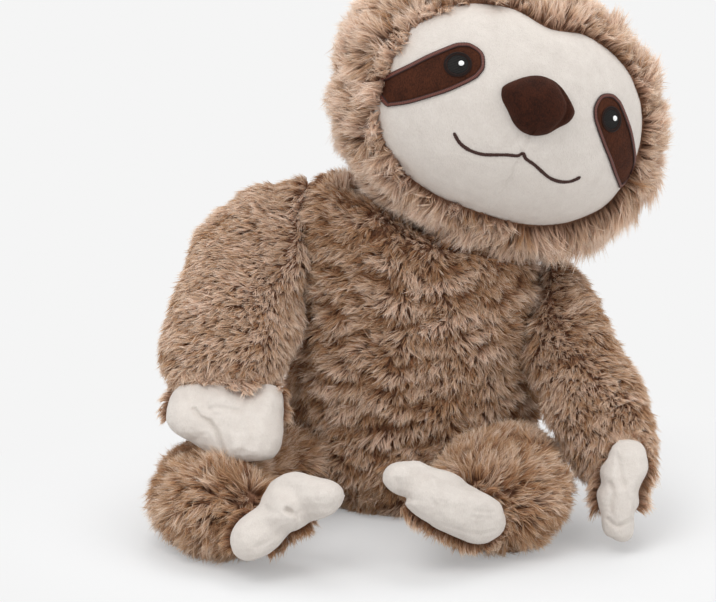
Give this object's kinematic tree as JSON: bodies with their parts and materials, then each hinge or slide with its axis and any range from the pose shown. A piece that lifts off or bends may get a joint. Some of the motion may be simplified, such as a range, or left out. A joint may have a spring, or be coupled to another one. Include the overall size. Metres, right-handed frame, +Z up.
{
  "type": "sitting plush sloth",
  "caption": "Sitting stuffed sloth with pile cloth body and hood, cream face and paws, stitched eyes and mouth, a cushion nose, and a soft neck, shoulders and hips that move.",
  "frame": {"origin": "on the floor, on the torso's flat seat", "axes": "+Z up, -Y is where the body faces, +X is the toy's own left side"},
  "size_m": [0.2717, 0.2244, 0.302],
  "materials": {
    "brown_pile_cloth": "long polyester pile, matt",
    "cream_velour": "short brushed polyester pile, matt",
    "brown_velour": "short brushed polyester pile, matt",
    "rim_thread": "satin stitched rayon thread",
    "black_thread": "satin stitched rayon thread",
    "white_thread": "satin stitched rayon thread",
    "brown_thread": "satin stitched rayon thread",
    "fibre_filling": "loose polyester fibre",
    "cotton_bag": "plain woven cotton"
  },
  "bodies": {
    "torso": {"torso_plush": "brown_pile_cloth", "torso_filling": "fibre_filling", "seat_pellet_bag": "cotton_bag"},
    "neck": {"neck_filling": "fibre_filling"},
    "head": {"head_hood": "brown_pile_cloth", "face_panel": "cream_velour", "head_filling": "fibre_filling", "nose_pad": "brown_velour", "right_eye_patch": "brown_velour", "left_eye_patch": "brown_velour", "right_eye_rim": "rim_thread", "left_eye_rim": "rim_thread", "right_pupil": "black_thread", "left_pupil": "black_thread", "right_glint": "white_thread", "left_glint": "white_thread", "mouth_stitch": "brown_thread"},
    "right_arm": {"right_arm_plush": "brown_pile_cloth", "right_arm_filling": "fibre_filling", "right_hand": "cream_velour"},
    "left_arm": {"left_arm_plush": "brown_pile_cloth", "left_arm_filling": "fibre_filling", "left_hand": "cream_velour"},
    "right_leg": {"right_leg_plush": "brown_pile_cloth", "right_leg_filling": "fibre_filling", "right_foot": "cream_velour"},
    "left_leg": {"left_leg_plush": "brown_pile_cloth", "left_leg_filling": "fibre_filling", "left_foot": "cream_velour"}
  },
  "joints": [
    {"name": "head_turn", "type": "hinge", "parent": "torso", "child": "neck", "pos_m": [0.02, 0, 0.157], "axis": [0.2794, 0.1705, 0.9449], "range_deg": [-20, 20]},
    {"name": "head_tilt", "type": "hinge", "parent": "neck", "child": "head", "pos_m": [0.02, 0, 0.157], "axis": [-0.2331, 0.9667, -0.1055], "range_deg": [-10, 2]},
    {"name": "right_arm_swing", "type": "hinge", "parent": "torso", "child": "right_arm", "pos_m": [-0.076, 0.002, 0.148], "axis": [-1, 0, 0], "range_deg": [0, 60]},
    {"name": "left_arm_swing", "type": "hinge", "parent": "torso", "child": "left_arm", "pos_m": [0.08, 0.002, 0.12], "axis": [-1, 0, 0], "range_deg": [0, 60]},
    {"name": "right_leg_splay", "type": "hinge", "parent": "torso", "child": "right_leg", "pos_m": [-0.071, -0.03, 0.0255], "axis": [0, 0, -1], "range_deg": [0, 30]},
    {"name": "left_leg_lift", "type": "hinge", "parent": "torso", "child": "left_leg", "pos_m": [0.047, -0.054, 0.056], "axis": [-1, 0, 0], "range_deg": [0, 40]}
  ]
}
